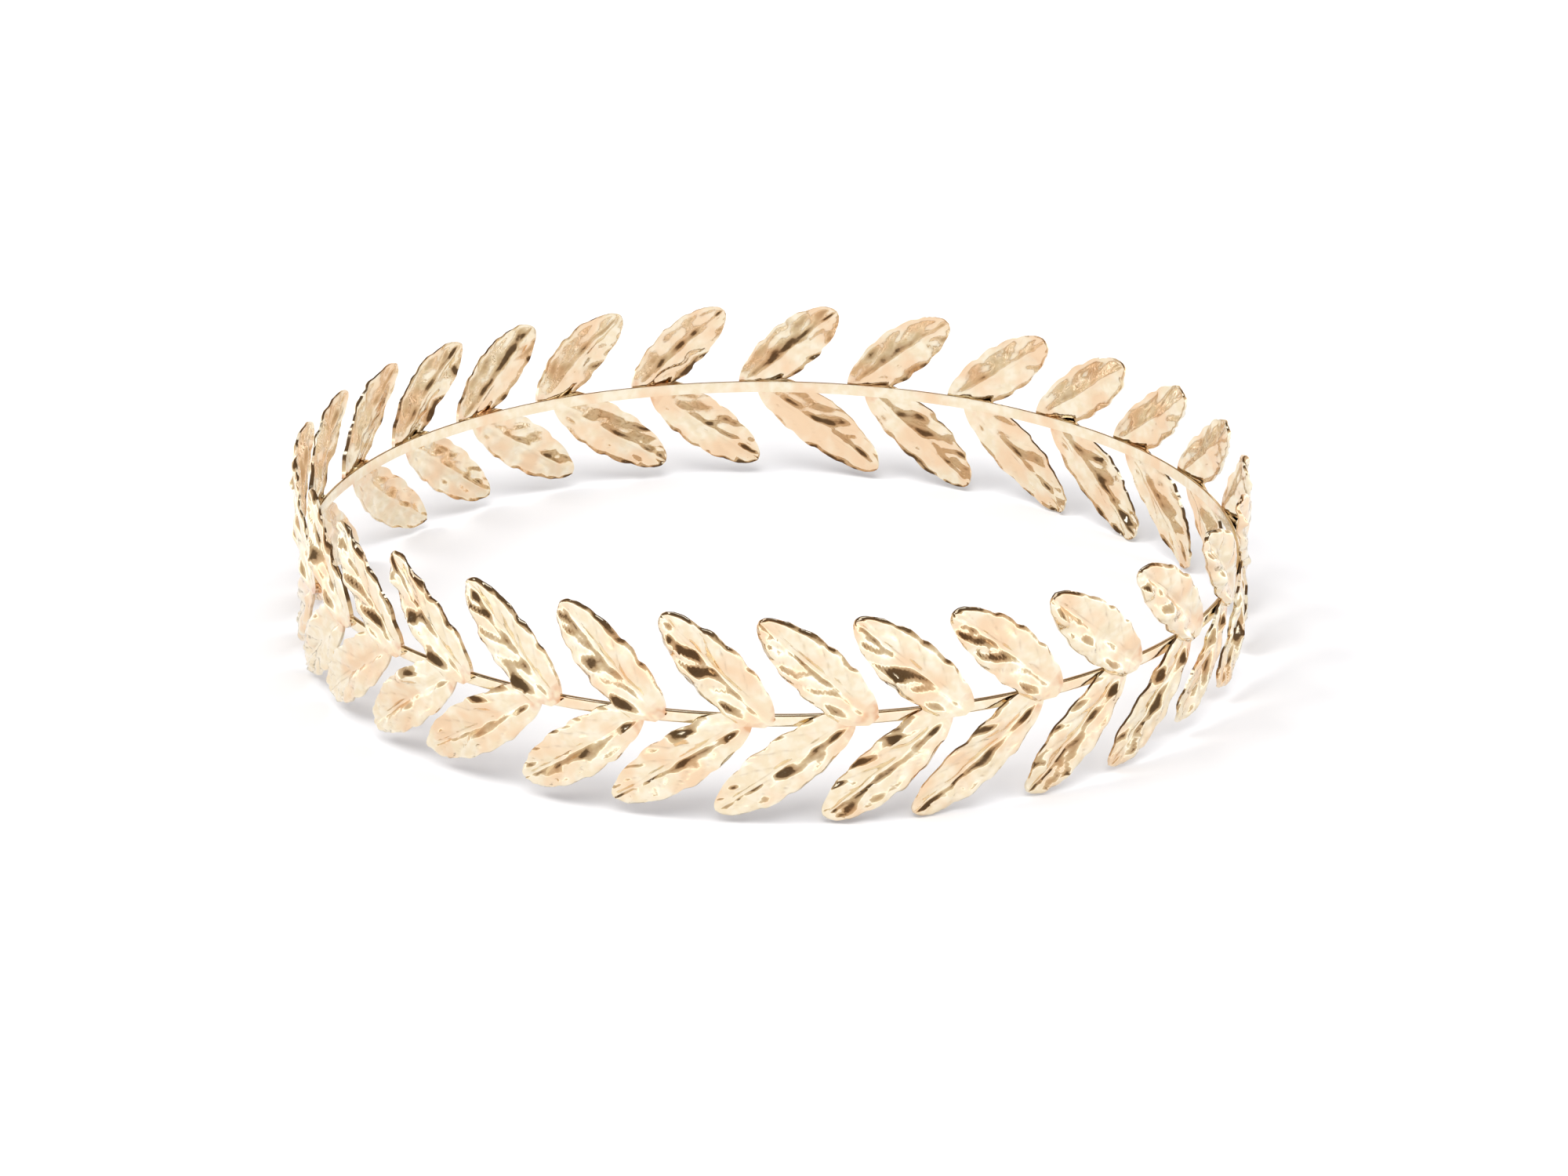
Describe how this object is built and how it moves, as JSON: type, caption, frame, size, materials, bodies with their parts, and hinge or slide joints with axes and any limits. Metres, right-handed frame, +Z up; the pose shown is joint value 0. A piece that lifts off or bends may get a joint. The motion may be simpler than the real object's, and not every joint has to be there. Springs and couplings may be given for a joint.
{
  "type": "leaf headband",
  "caption": "Closed wreath headband of thin polished metal: a plain strip ring with pairs of veined leaves soldered round its outer face, all sweeping one way.",
  "frame": {"origin": "on the floor, below the centre of the ring, at the height of the lowest leaf tips", "axes": "+Z up along the ring's axis, -Y towards the front where the leaves point to -X, +X to the right seen from the front"},
  "size_m": [0.1809, 0.1807, 0.0396],
  "materials": {
    "gold_metal": "polished pale rose gold plating"
  },
  "bodies": {
    "root": {"leaf_headband": "gold_metal"}
  },
  "joints": []
}
